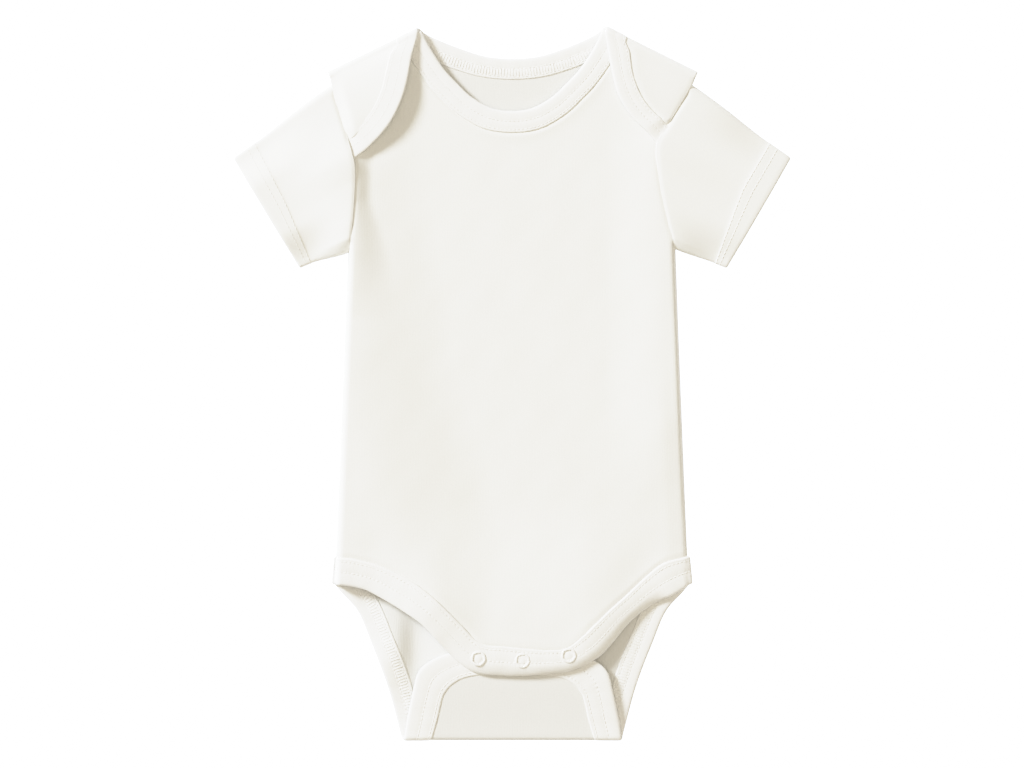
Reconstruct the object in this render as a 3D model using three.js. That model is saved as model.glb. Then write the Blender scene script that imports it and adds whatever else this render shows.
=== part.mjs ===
import * as THREE from "three";

// Baby bodysuit with lap shoulders, laid flat on its back. Millimetres, Z up, neck towards +Y,
// the origin under the middle of the garment. Left and right are as seen from above.

// Cloth and gaps
const PANEL_HALF = 0.6; // half the thickness of a single cloth wall
const STRIP_HALF = 0.9; // half the thickness of a binding strip or a doubled hem
const EDGE_HALF = 0.5; // half the thickness at the rounded free edge of a strip
const SEAM_GAP = 0.45; // binding strip to panel
const ARM_GAP = 0.42; // sleeve to body, twice as much at the sleeve's folds
const STEP = 7; // longest facet along a curved edge

// Heights of the middle of each layer
const BACK_Z = 0.6;
const STRIP_RISE = 0.3; // a strip's middle above its panel's middle
const HIDDEN_LAP_Z = 3.3;
const SHOULDER_Z = 5.6; // front panel at the shoulder
const LAP_RISE = 2.2; // back's lap above the front panel
const WAIST_Z = 4.4;
const SIDE_Z = 2.15; // front panel at the side seam
const SNAP_Z = 10; // front panel over the snaps
const TAB_Z = 5.6; // tab under the snaps
const TAB_FOLD_Z = 5;
const RISE_WIDTH = { left: 7, right: 4 }; // the front climbs from the side seam within this width
const LOW_RISE = 6; // and on the right within so much more below the waist
const RIDGE_WIDTH = 45; // it sinks from its ridge to the middle within this width
const RIDGE = { left: 3, right: 1.8 }; // height of that ridge
const RIDGE_SPAN = { left: [120, -140], right: [165, -80] }; // from and to, y

// Shoulder folds: where each ends at the armhole, and the way it faces
const SHOULDER = {
  left: { tip: [-108.7, 183.7], out: [-0.4382, 0.8989] },
  right: { tip: [109.5, 183.6], out: [0.4472, 0.8944] },
};
const CROTCH_FOLD_Y = -211.7;

// Armhole seams from shoulder to underarm, x y
const ARMHOLE = {
  left: [
    [-108.7, 183.7], [-107.1, 176.2], [-102.6, 160.6], [-98.9, 148.2], [-95.4, 136],
    [-94.2, 130], [-94.2, 118.6], [-95.3, 100], [-97.2, 82],
  ],
  right: [
    [109.5, 183.6], [106.8, 177.2], [99.6, 165.4], [92.9, 154.6], [87, 143.9],
    [86.9, 135.4], [89.4, 116.8], [93.6, 97.6], [97.8, 82],
  ],
};
// Side seams from underarm to leg, x y
const SIDE = {
  left: [[-97.2, 82], [-98.4, 70], [-100.2, 24], [-102.5, -34], [-105.3, -103.8]],
  right: [[97.8, 82], [98.2, 70], [99.8, 24], [102.1, -34], [105, -103.6]],
};

// Binding strips, one row per station: free edge x y, seam x y
const BACK_NECK = [
  [-53.1, 210.8, -65.4, 204.8],
  [-48.8, 208.4, -57.2, 199.4],
  [-42, 205.4, -47.6, 194.2],
  [-30, 200.8, -33.8, 188.9],
  [-16.2, 196.6, -18.4, 184.6],
  [0, 195.1, 0, 183],
  [16.2, 196.6, 18.4, 184.6],
  [30, 200.8, 33.8, 188.9],
  [42, 205.6, 47.6, 194.4],
  [48.8, 208.9, 57.2, 199.9],
  [53.1, 211.7, 65.4, 205.6],
];
const FRONT_NECK = [
  [-54.2, 210.3, -66.5, 204.3],
  [-49.2, 200.9, -60.6, 194.4],
  [-40.8, 188.3, -50.8, 180.5],
  [-32.4, 179.3, -41.4, 170.3],
  [-24, 171.5, -31.3, 161.1],
  [-12, 164.9, -16.2, 152.9],
  [0, 163.2, 0, 150.7],
  [12, 164.9, 16.2, 152.9],
  [24, 171.5, 31.3, 161.1],
  [32.4, 179.3, 41.4, 170.3],
  [40.8, 188.3, 50.8, 180.5],
  [49.2, 200.9, 60.6, 194.8],
  [54.2, 211.2, 66.5, 205.1],
];
// Laps of the back over the front, from the shoulder fold to the armhole
const BACK_LAP = {
  left: [
    [-56.6, 209.1, -68.7, 203.2],
    [-60.3, 195.5, -72.6, 196.5],
    [-62.2, 184.5, -74.8, 187.2],
    [-64.9, 173.4, -77.2, 177],
    [-68.2, 165, -79.8, 170.3],
    [-72.4, 157, -83.4, 163.5],
    [-77.2, 150.6, -87.2, 158.5],
    [-82.4, 145, -91.4, 153.9],
    [-88, 139.8, -95.6, 150.6],
    [-94.6, 134.8, -98.9, 148.2],
  ],
  right: [
    [56, 210.3, 68, 204.3],
    [57.6, 200.6, 70.2, 199.4],
    [58.8, 193.7, 71, 193.7],
    [60.6, 184.5, 72.2, 186.3],
    [63, 175.3, 75.2, 177],
    [66, 168.8, 77.6, 172.2],
    [69.6, 163.1, 80.8, 167.3],
    [74.6, 157.2, 85.2, 162.4],
    [79.8, 152.3, 89.4, 158.6],
    [86.6, 144.3, 92.9, 154.6],
  ],
};
// Laps of the front inside the back, from the shoulder fold to the armhole
const FRONT_LAP = {
  left: [
    [-54.2, 210.3, -66.5, 204.3],
    [-57.6, 196, -70.2, 197.6],
    [-62.4, 181, -74.6, 184.6],
    [-70, 169, -80.6, 176],
    [-79, 161, -87.6, 170.4],
    [-89, 155.6, -95.4, 167],
    [-99.8, 152.4, -103.9, 165.2],
  ],
  right: [
    [54.2, 211.2, 66.5, 205.1],
    [57.6, 196.5, 70.2, 198],
    [62, 182, 74.2, 185.4],
    [68.5, 170.5, 79.6, 176.8],
    [76.5, 162.5, 85.4, 171],
    [84, 157, 92.2, 167.2],
    [91.2, 152.4, 98.9, 164.4],
  ],
};
// Height the free edge of each back lap stands above lying flat
const LAP_LIFT = { left: 5.5, right: 0.5 };
// Height the sleeve seam stands above the front beside it
const ARM_RIDGE = { left: 0.9, right: 0.3 };
const LAP_STEP_Y = { left: 126, right: 136 }; // and where it starts to climb to the laps

const FRONT_LEG = [
  [-106.5, -120.1, -105.3, -104.3],
  [-98.4, -120.7, -96, -105],
  [-87.4, -123.2, -82.8, -108.2],
  [-74.8, -129.9, -69, -113.7],
  [-63, -137.1, -55.8, -121.2],
  [-53.3, -144.3, -43.8, -131],
  [-39.4, -159.4, -29.4, -145.4],
  [-30.2, -167.9, -22.2, -153.1],
  [-21, -173, -15.6, -156.4],
  [-7.2, -174.6, -5.4, -157.2],
  [5.4, -174.8, 5.4, -158.3],
  [22.2, -173.4, 21, -159.5],
  [36.6, -171.2, 32.4, -158.3],
  [51.7, -163.7, 42.6, -151.1],
  [60.2, -155.2, 50.4, -143.6],
  [68.6, -145.1, 59.4, -135.2],
  [77, -137.6, 68.4, -127.4],
  [87.1, -130.8, 79.2, -117.2],
  [98, -125.7, 91.2, -107.9],
  [106.8, -120.2, 105.2, -104.1],
];
// Right half, mirrored for the left, from the side to the crotch fold
const BACK_LEG = [
  [106.6, -120.1, 105.3, -104.2],
  [102, -125.6, 93.4, -113.2],
  [94.2, -134, 83.6, -125.4],
  [90, -141.2, 77.8, -135.8],
  [84.3, -155.6, 71.8, -150.6],
  [78.3, -170.6, 65.6, -165.9],
  [73.2, -185.6, 60.3, -181.8],
  [69.3, -200, 56, -197.4],
  [66.3, -211.7, 52.5, -211.7],
];
// Right half, mirrored for the left about TAB_X, from the crotch fold to the middle
const TAB_X = 0.6;
const TAB_EDGE = [
  [64.8, -211.7, 48.3, -211.7],
  [63, -200.6, 45.2, -200.6],
  [60, -186.2, 42.4, -188.6],
  [56.4, -173, 40, -184],
  [49.2, -166.4, 36.4, -180.2],
  [37.2, -161.6, 30, -176.6],
  [24, -159.8, 20, -174.6],
  [0, -158.6, 0, -173.4],
];

// Sleeves: hem ends and shoulder line start at the middle of the folds, x y
const SLEEVE = {
  left: { hemTop: [-166.1, 134.3], hemUnder: [-128.1, 71.1] },
  right: { hemTop: [166.4, 134.3], hemUnder: [129.6, 71.1] },
};
const ARM_TOP = 0.075; // shares of the armhole at the sleeve's upper and lower folds
const ARM_UNDER = 0.975;
const SLEEVE_HEM = 11.7;

// Snaps, x y of each, and their turned profiles, radius and height over the part's own base
const SNAPS = [[-20.1, -164.3], [6.3, -165.5], [33.9, -162.5]];
const RING = {
  base: 11.5,
  facets: 20,
  profile: [[2.7, 0], [4.5, 0], [4.8, 0.3], [4.6, 0.6], [4.1, 0.8], [3.2, 0.8], [2.8, 0.6], [2.6, 0.3]],
};
const SOCKET = {
  base: 7.85,
  facets: 18,
  profile: [[2.1, 0], [3.6, 0], [4.2, 0.25], [4.6, 0.8], [4.6, 1.2], [0, 1.2], [0, 0.9], [2.1, 0.9]],
};
const STUD = {
  base: 7.1,
  facets: 18,
  profile: [[0, 0], [4.5, 0], [4.6, 0.25], [4.2, 0.5], [2, 0.5], [1.6, 0.7], [1.7, 1.1], [1.2, 1.35], [0, 1.35]],
};
const BACK_RING = {
  base: 3.8,
  facets: 20,
  profile: [[2.7, 0], [4.5, 0], [4.7, 0.4], [4.5, 0.8], [2.7, 0.8]],
};

const KNIT = new THREE.MeshStandardMaterial({ color: 0xf1f0ec, roughness: 0.95 });
const RIB = new THREE.MeshStandardMaterial({ color: 0xf4f3ef, roughness: 0.95 });
const SNAP = new THREE.MeshStandardMaterial({ color: 0xf3f2ee, roughness: 0.45 });

const mix = (a, b, t) => a.map((value, i) => value + (b[i] - value) * t);
const distance = (a, b) => Math.hypot(...a.map((value, i) => value - b[i]));
const steps = (count) => Array.from({ length: count + 1 }, (_, i) => i / count);

function smooth(t) {
  const c = Math.min(Math.max(t, 0), 1);
  return c * c * (3 - 2 * c);
}

// A smooth curve through the points, read by its share of length; `size` is that length.
function curve(points) {
  const at = [0];
  points.slice(1).forEach((p, i) => at.push(at[i] + distance(p, points[i])));
  const last = points.length - 1;
  const slope = points.map((_, i) => {
    const [a, b] = [Math.max(i - 1, 0), Math.min(i + 1, last)];
    return points[a].map((value, k) => (points[b][k] - value) / (at[b] - at[a]));
  });
  const read = (share) => {
    const s = share * at[last];
    let i = 0;
    while (i < last - 1 && at[i + 1] < s) i += 1;
    const h = at[i + 1] - at[i];
    const t = (s - at[i]) / h;
    const [t2, t3] = [t * t, t * t * t];
    return points[i].map(
      (value, k) =>
        value * (2 * t3 - 3 * t2 + 1) +
        points[i + 1][k] * (3 * t2 - 2 * t3) +
        h * (slope[i][k] * (t3 - 2 * t2 + t) + slope[i + 1][k] * (t3 - t2)),
    );
  };
  read.size = at[last];
  return read;
}

// Points along a curve of free edge and seam, spaced by STEP.
function stations(rows) {
  const read = curve(rows);
  const count = Math.ceil(read.size / Math.SQRT2 / STEP);
  return steps(count).map(read);
}

// The panel's edge beside a strip station, a seam gap away from the strip.
function panelEdge([freeX, freeY, seamX, seamY]) {
  const width = Math.hypot(seamX - freeX, seamY - freeY);
  return mix([freeX, freeY], [seamX, seamY], 1 + SEAM_GAP / width);
}

// Height of the front panel's middle over the surface, without its laps: it climbs from the side
// seams to a ridge, sinks a little to the middle, and rises over the snaps.
const sideX = (y) => 98.3 + (70 - y) * 0.0395;
function frontZ(x, y) {
  const inside = Math.max(sideX(y) - Math.abs(x), 0);
  const reach = Math.hypot(inside, Math.max(y - 83, 0));
  const side = x < 0 ? "left" : "right";
  const rise = RISE_WIDTH[side] + (x < 0 ? 0 : LOW_RISE * smooth((20 - y) / 60));
  const climb = Math.sin((Math.PI / 2) * Math.min(reach / rise, 1));
  const edge = SIDE_Z + 0.6 * smooth((-65 - y) / 38);
  const chest = WAIST_Z + (SHOULDER_Z - WAIST_Z) * smooth((y + 20) / 190);
  const crotch = smooth((-y - 70) / 85) * smooth((88 - Math.abs(x)) / 48);
  const [top, bottom] = RIDGE_SPAN[side];
  const along = smooth((top - y) / 30) * smooth((y - bottom) / 60);
  const ridge = RIDGE[side] * along * (1 - smooth((reach - rise) / RIDGE_WIDTH));
  const loft = chest + (SNAP_Z - WAIST_Z) * crotch;
  return edge + (loft + ridge - edge) * climb + troughs(x, y);
}

// The soft troughs seen on the front: centre x y, half width, half length, depth.
const TROUGHS = [
  [-83, 104, 10, 34, 2.6],
  [-62, 10, 20, 70, 0.5],
  [-38, -112, 12, 28, 0.5],
];
function troughs(x, y) {
  let z = 0;
  for (const [cx, cy, wide, long, depth] of TROUGHS) {
    z -= depth * Math.exp(-(((x - cx) / wide) ** 2) - ((y - cy) / long) ** 2);
  }
  return z * smooth((165 - y) / 30);
}

const tabZ = (y) => TAB_Z + (TAB_FOLD_Z - TAB_Z) * (1 - smooth((y - CROTCH_FOLD_Y) / 40));

// A point at height z carried round a fold by an angle, the fold facing `out`.
function around(point, out, radius, z, angle) {
  const reach = radius * Math.sin(angle);
  return [point[0] + out[0] * reach, point[1] + out[1] * reach, z + radius * (1 - Math.cos(angle))];
}

// Joins each row of points to the next with triangles, taking the shorter diagonal each time.
function surface(blocks) {
  const points = [];
  const seen = new Map();
  const triangles = [];
  const place = (p) => {
    const key = p.slice(0, 3).map((value) => Math.round(value * 1e3)).join();
    if (!seen.has(key)) {
      seen.set(key, points.length);
      points.push(p);
    }
    return seen.get(key);
  };
  for (const rows of blocks) {
    const placed = rows.map((row) => row.map(place));
    for (let k = 0; k + 1 < placed.length; k += 1) {
      const [a, b] = [placed[k], placed[k + 1]];
      let [i, j] = [0, 0];
      while (i < a.length - 1 || j < b.length - 1) {
        const alongA =
          j === b.length - 1 ||
          (i < a.length - 1 &&
            distance(points[a[i + 1]], points[b[j]]) <= distance(points[a[i]], points[b[j + 1]]));
        const next = alongA ? a[i + 1] : b[j + 1];
        const corners = [a[i], b[j], next];
        if (new Set(corners).size === 3) triangles.push(corners);
        if (alongA) i += 1;
        else j += 1;
      }
    }
  }
  return { points, triangles };
}

function mesh(name, points, triangles, material) {
  const geometry = new THREE.BufferGeometry();
  const flat = points.flatMap((p) => p.slice(0, 3));
  geometry.setAttribute("position", new THREE.Float32BufferAttribute(flat, 3));
  geometry.setIndex(triangles.flat());
  geometry.computeVertexNormals();
  const made = new THREE.Mesh(geometry, material);
  made.name = name;
  return made;
}

// A cloth wall: each point x y z half-thickness of the middle surface, moved out both ways.
function cloth(name, blocks, material) {
  const { points, triangles } = surface(blocks);
  const normals = points.map(() => new THREE.Vector3());
  const corner = (i) => new THREE.Vector3(...points[i].slice(0, 3));
  for (const [a, b, c] of triangles) {
    const normal = corner(b).sub(corner(a)).cross(corner(c).sub(corner(a)));
    for (const i of [a, b, c]) normals[i].add(normal);
  }
  const moved = (sign) =>
    points.map((p, i) => corner(i).addScaledVector(normals[i].clone().normalize(), sign * p[3]).toArray());
  const count = points.length;
  const faces = [...triangles, ...triangles.map(([a, b, c]) => [a + count, c + count, b + count])];
  const edges = new Set(triangles.flatMap(([a, b, c]) => [`${a},${b}`, `${b},${c}`, `${c},${a}`]));
  for (const edge of edges) {
    const [a, b] = edge.split(",").map(Number);
    if (edges.has(`${b},${a}`)) continue;
    faces.push([b, a, a + count], [b, a + count, b + count]);
  }
  return mesh(name, [...moved(1), ...moved(-1)], faces, material);
}

// Rows of a body panel from the shoulders down: straight across between its sides, with the
// shapes of its top and bottom edges fading in.
function bodyRows(sides, top, bottom, columns, height) {
  const shape = (edge) => {
    const [first, last] = [edge[0], edge[edge.length - 1]];
    const share = (p) => (p[0] - first[0]) / (last[0] - first[0]);
    const sag = edge.map((p) => [share(p), p[1] - mix(first, last, share(p))[1]]);
    return (u) => {
      const i = Math.max(sag.findIndex(([at]) => at >= u - 1e-9), 1);
      const t = (u - sag[i - 1][0]) / (sag[i][0] - sag[i - 1][0]);
      return sag[i - 1][1] + (sag[i][1] - sag[i - 1][1]) * t;
    };
  };
  const [topShape, bottomShape] = [shape(top), shape(bottom)];
  const last = sides.length - 1;
  const down = [0];
  sides.slice(1).forEach(([left], k) => down.push(down[k] + distance(left, sides[k][0])));
  return sides.map(([left, right], k) => {
    if (k === 0) return top.map(([x, y]) => [x, y, height(x, y), PANEL_HALF]);
    if (k === last) return bottom.map(([x, y]) => [x, y, height(x, y), PANEL_HALF]);
    const v = down[k] / down[last];
    const fromTop = Math.max(1 - v / 0.4, 0) ** 1.4;
    const fromBottom = Math.max((v - 0.6) / 0.4, 0);
    return steps(columns(k, last)).map((t) => {
      const u = (t + (1 - Math.cos(Math.PI * t)) / 2) / 2;
      const [x, chord] = mix(left, right, u);
      const y = chord + fromTop * topShape(u) + fromBottom * bottomShape(u);
      return [x, y, height(x, y), PANEL_HALF];
    });
  });
}

// Stations down the armhole, shared by the sleeve and the body.
const armShares = () => steps(13).map((t) => ARM_TOP + (ARM_UNDER - ARM_TOP) * t);

// Points down both sides of a panel, in pairs.
function sidePairs(more = { left: [], right: [] }) {
  const down = (side) => [
    ...[0, ARM_TOP / 2, ...armShares(), 1].map(curve(ARMHOLE[side])),
    ...steps(13).map(curve(SIDE[side])).slice(1),
    ...more[side],
  ];
  const right = down("right");
  return down("left").map((p, i) => [p, right[i]]);
}

// The lap's own heights over the surface at a share down its length and across to its free edge.
function lapHeights(side, over) {
  if (!over) return () => HIDDEN_LAP_Z;
  const lift = LAP_LIFT[side];
  return (x, y, t, w, armPoint) => {
    const rise = 0.45 * smooth(distance([x, y], armPoint) / 7) + 0.55 * w;
    return frontZ(x, y) + LAP_RISE + lift * Math.max(Math.sin(Math.PI * t), 0) ** 0.9 * rise;
  };
}

// A shoulder fold and the lap beyond it, as one block of panel rows and one list of strip stations.
function lap(side, neckStation, table, over) {
  const { tip, out } = SHOULDER[side];
  const [from, to] = over ? [BACK_Z, SHOULDER_Z + LAP_RISE] : [SHOULDER_Z, HIDDEN_LAP_Z];
  const radius = (to - from) / 2;
  const heights = lapHeights(side, over);
  const arm = curve(ARMHOLE[side]);
  const end = table[table.length - 1];
  const shares = steps(400);
  const gapAt = (t) => distance(arm(t), end.slice(2));
  const armEnd = shares.reduce((best, t) => (gapAt(t) < gapAt(best) ? t : best));
  const read = curve(table);
  const bend = (point, angle) => {
    const [x, y] = around(point, out, Math.abs(radius), from, angle);
    return [x, y, from + radius * (1 - Math.cos(angle))];
  };
  const rows = [];
  for (const t of steps(6)) {
    const seam = mix(panelEdge(neckStation), panelEdge(table[0]), t);
    rows.push(steps(4).map((u) => [...bend(mix(tip, seam, u), Math.PI * t), PANEL_HALF]));
  }
  const across = (t) => {
    const armPoint = arm(t * armEnd);
    const station = read(t);
    const whole = distance(armPoint, station.slice(0, 2));
    return { armPoint, station, seamShare: distance(armPoint, station.slice(2)) / whole };
  };
  for (const t of steps(10).slice(1, -1)) {
    const { armPoint, station, seamShare } = across(t);
    const edge = panelEdge(station);
    rows.push(
      steps(Math.max(1, Math.round(4 * (1 - t)))).map((u) => {
        const [x, y] = mix(armPoint, edge, u);
        return [x, y, heights(x, y, t, u * seamShare, armPoint), PANEL_HALF];
      }),
    );
  }
  const [endX, endY] = arm(armEnd - (4 * SEAM_GAP) / arm.size);
  rows.push([[endX, endY, heights(endX, endY, 1, 1, [endX, endY]), PANEL_HALF]]);

  const fold = steps(6).map((t) => {
    const [freeX, freeY, seamX, seamY] = mix(neckStation, table[0], t);
    return [bend([freeX, freeY], Math.PI * t), bend([seamX, seamY], Math.PI * t)];
  });
  const along = steps(Math.ceil(read.size / Math.SQRT2 / STEP)).slice(1).map((t) => {
    const { armPoint, station: [freeX, freeY, seamX, seamY], seamShare } = across(t);
    return [
      [freeX, freeY, heights(freeX, freeY, t, 1, armPoint)],
      [seamX, seamY, heights(seamX, seamY, t, Math.min(seamShare, 1), armPoint)],
    ];
  });
  return { rows, strip: [...fold.slice(1), ...along] };
}

// A binding strip from its stations, each a free edge point and a seam point at panel height.
function strip(name, pairs) {
  const rows = pairs.map(([free, seam]) =>
    [[0, EDGE_HALF], [0.09, STRIP_HALF], [0.55, STRIP_HALF], [1, STRIP_HALF]].map(([w, half]) => {
      const [x, y, z] = mix(free, seam, w);
      return [x, y, z + STRIP_RISE, half];
    }),
  );
  return cloth(name, [rows], RIB);
}

const flatPairs = (rows, height) =>
  rows.map(([a, b, c, d]) => [[a, b, height(a, b)], [c, d, height(c, d)]]);

// Neck edge of a panel between the two shoulder tips.
function neckEdge(rows) {
  const edge = stations(rows).map(panelEdge);
  const shoulder = (side, to) => steps(4).slice(0, -1).map((u) => mix(SHOULDER[side].tip, to, u));
  return [
    ...shoulder("left", edge[0]),
    ...edge,
    ...shoulder("right", edge[edge.length - 1]).reverse(),
  ];
}

const backLap = {
  left: lap("left", BACK_NECK[0], BACK_LAP.left, true),
  right: lap("right", BACK_NECK[BACK_NECK.length - 1], BACK_LAP.right, true),
};
const frontLap = {
  left: lap("left", FRONT_NECK[0], FRONT_LAP.left, false),
  right: lap("right", FRONT_NECK[FRONT_NECK.length - 1], FRONT_LAP.right, false),
};

// A neck binding: up one lap, round the neck and down the other lap.
function neckBinding(name, laps, rows, height) {
  return strip(name, [
    ...laps.left.strip.toReversed(),
    ...flatPairs(stations(rows), height),
    ...laps.right.strip,
  ]);
}

// Back panel: the body with its two laps folded to the front, and the crotch tab folded up, which is
// parted from it along the fold so that the space inside the garment stays open
function backPanels() {
  const legEdge = stations(BACK_LEG).map(panelEdge);
  const mirror = legEdge.map(([x, y]) => [-x, y]);
  const sides = sidePairs({ left: mirror.slice(1), right: legEdge.slice(1) });
  const [left, right] = sides[sides.length - 1];
  const foldPoints = steps(8).map((u) => mix(left, right, u));
  const columns = (k) => Math.max(20 - 4 * k, 9);
  const body = bodyRows(sides, neckEdge(BACK_NECK), foldPoints, columns, () => BACK_Z);

  const tabEdge = stations(TAB_EDGE).map(panelEdge);
  const tabRows = tabEdge.map(([x, y]) => steps(8).map((u) => mix([TAB_X - x, y], [TAB_X + x, y], u)));
  const radius = (TAB_FOLD_Z - BACK_Z) / 2;
  const start = (1.6 * SEAM_GAP) / (Math.PI * radius);
  const fold = steps(6).map((share) => {
    const t = start + (1 - start) * share;
    return foldPoints.map((p, i) => [
      ...around(mix(p, tabRows[0][i], t), [0, -1], radius, BACK_Z, Math.PI * t),
      PANEL_HALF,
    ]);
  });
  const low = tabRows.filter((row) => row[8][0] > TAB_X + 20);
  const tab = low.map((row) => row.map(([x, y]) => [x, y, tabZ(y), PANEL_HALF]));
  const blocks = [body, backLap.left.rows.map((row) => row.toReversed()), backLap.right.rows];
  return [
    cloth("back_panel", blocks, KNIT),
    cloth("crotch_tab", [[...fold.slice(0, -1), ...tab]], KNIT),
  ];
}

// Front panel, with its two laps folded inside the back
function frontPanel() {
  const legEdge = stations(FRONT_LEG).map(panelEdge);
  const sides = sidePairs();
  legEdge[0] = sides[sides.length - 1][0];
  legEdge[legEdge.length - 1] = sides[sides.length - 1][1];
  const columns = (k, last) => Math.max(26 - 4 * k, 26 - 4 * (last - k), 15);
  const body = bodyRows(sides, neckEdge(FRONT_NECK), legEdge, columns, frontZ);
  const blocks = [
    body,
    frontLap.left.rows.map((row) => row.toReversed()),
    frontLap.right.rows,
  ];
  return cloth("front_panel", blocks, KNIT);
}

// Leg binding: one strip round the front hem, both back leg edges and the crotch tab
function legBinding() {
  const front = flatPairs(stations(FRONT_LEG), frontZ);
  const back = flatPairs(stations(BACK_LEG), () => BACK_Z);
  const mirror = (pairs, middle) =>
    pairs.map((pair) => pair.map(([x, y, z]) => [2 * middle - x, y, z])).reverse();
  const tabRight = flatPairs(stations(TAB_EDGE.map(([a, b, c, d]) => [a + TAB_X, b, c + TAB_X, d])),
    (x, y) => tabZ(y));
  const tab = [...tabRight, ...mirror(tabRight, TAB_X).slice(1)];
  const backLeft = mirror(back, 0);
  const turn = (from, to, out, count) =>
    steps(count).slice(1, -1).map((t) =>
      from.map((p, i) => {
        const q = to[i];
        const radius = Math.abs(q[2] - p[2]) / 2;
        const at = mix(p, q, t);
        const z = (p[2] + q[2]) / 2 - (Math.cos(Math.PI * t) * (q[2] - p[2])) / 2;
        const reach = radius * Math.sin(Math.PI * t);
        return [at[0] + out[0] * reach, at[1] + out[1] * reach, z];
      }),
    );
  const loop = [
    ...front,
    ...turn(front[front.length - 1], back[0], [1, 0], 5),
    ...back,
    ...turn(back[back.length - 1], tab[0], [0, -1], 7),
    ...tab,
    ...turn(tab[tab.length - 1], backLeft[0], [0, -1], 7),
    ...backLeft,
    ...turn(backLeft[backLeft.length - 1], front[0], [-1, 0], 5),
    front[0],
  ];
  return strip("leg_binding", loop);
}

// Sleeve: a flattened tube from the armhole to a doubled hem
function sleeve(side) {
  const { hemTop, hemUnder } = SLEEVE[side];
  const sign = side === "left" ? -1 : 1;
  const arm = curve(ARMHOLE[side]);
  const armAt = (u) => {
    const share = ARM_UNDER + (ARM_TOP - ARM_UNDER) * u;
    const [a, b] = [arm(Math.max(share - 0.01, 0)), arm(Math.min(share + 0.01, 1))];
    const gap = ARM_GAP * (2 - smooth(Math.min(u, 1 - u) / 0.1));
    const across = (sign * gap) / distance(a, b);
    const [x, y] = arm(share);
    return [x - (b[1] - a[1]) * across, y + (b[0] - a[0]) * across];
  };
  const plan = (u, v) => mix(armAt(u), mix(hemUnder, hemTop, u), v);
  const size = distance(mix(armAt(0), armAt(1), 0.5), mix(hemUnder, hemTop, 0.5));
  const hemShare = 1 - SLEEVE_HEM / size;

  const topRadius = (v) => 3.05 - 1.75 * smooth(v * 1.4);
  const underRadius = (v) => 0.85 + 0.25 * v;
  const upperZ = (u, v) => {
    const [x, y] = armAt(u);
    const seam = ARM_RIDGE[side] * smooth(Math.min(u, 1 - u) / 0.15);
    const atArm = frontZ(x, y) + seam + 1.7 * smooth((y - LAP_STEP_Y[side]) / 15);
    const end = BACK_Z + 2 * (u > 0.5 ? topRadius(v) : underRadius(v));
    const away = end + (4.8 - 1.2 * v - end) * smooth(Math.min(u, 1 - u) / 0.22);
    return atArm + (away - atArm) * smooth(v / 0.5);
  };
  const facing = (u, v) => {
    const [a, b] = [plan(u, v), plan(u > 0.5 ? u - 0.04 : u + 0.04, v)];
    return a.map((value, i) => (value - b[i]) / distance(a, b));
  };
  const ring = (v) => {
    const half = v > hemShare ? STRIP_HALF : PANEL_HALF;
    const lift = half - PANEL_HALF;
    const low = steps(13).map((u) => [...plan(u, v), BACK_Z]);
    const high = steps(13).map((u) => [...plan(u, v), upperZ(u, v)]);
    const end = (u, facets) => {
      const point = plan(u, v);
      const radius = (upperZ(u, v) - BACK_Z) / 2;
      const arc = steps(facets).slice(1, -1);
      return arc.map((t) => around(point, facing(u, v), radius, BACK_Z, Math.PI * t));
    };
    const loop = [...low, ...end(1, 5), ...high.reverse(), ...end(0, 4).reverse(), low[0]];
    return loop.map(([x, y, z]) => [x, y, z + lift, half]);
  };
  const shares = [0, 0.07, 0.16, 0.28, 0.42, 0.56, hemShare - 0.006, hemShare + 0.006, 0.9, 1];
  const rows = shares.map(ring);
  return cloth("sleeve_" + side, [side === "left" ? rows : rows.toReversed()], KNIT);
}

// A turned snap part standing on its base height
function turnedPart(name, { base, facets, profile }, [x, y]) {
  const ring = ([radius, z]) =>
    radius === 0
      ? [[x, y, base + z]]
      : steps(facets).map((t) => [
          x + radius * Math.cos(2 * Math.PI * t),
          y + radius * Math.sin(2 * Math.PI * t),
          base + z,
        ]);
  const closed = profile[0][0] > 0 ? [...profile, profile[0]] : profile;
  const { points, triangles } = surface([closed.map(ring).reverse()]);
  return mesh(name, points, triangles, SNAP);
}

const garment = new THREE.Group();
garment.name = "baby_bodysuit";
garment.add(...backPanels(), frontPanel());
garment.add(neckBinding("neck_binding_back", backLap, BACK_NECK, () => BACK_Z));
garment.add(neckBinding("neck_binding_front", frontLap, FRONT_NECK, frontZ));
garment.add(legBinding(), sleeve("left"), sleeve("right"));
SNAPS.forEach((at, i) => {
  garment.add(
    turnedPart(`snap_ring_${i + 1}`, RING, at),
    turnedPart(`snap_socket_${i + 1}`, SOCKET, at),
    turnedPart(`snap_stud_${i + 1}`, STUD, at),
    turnedPart(`snap_back_ring_${i + 1}`, BACK_RING, at),
  );
});

export default garment;
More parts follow.
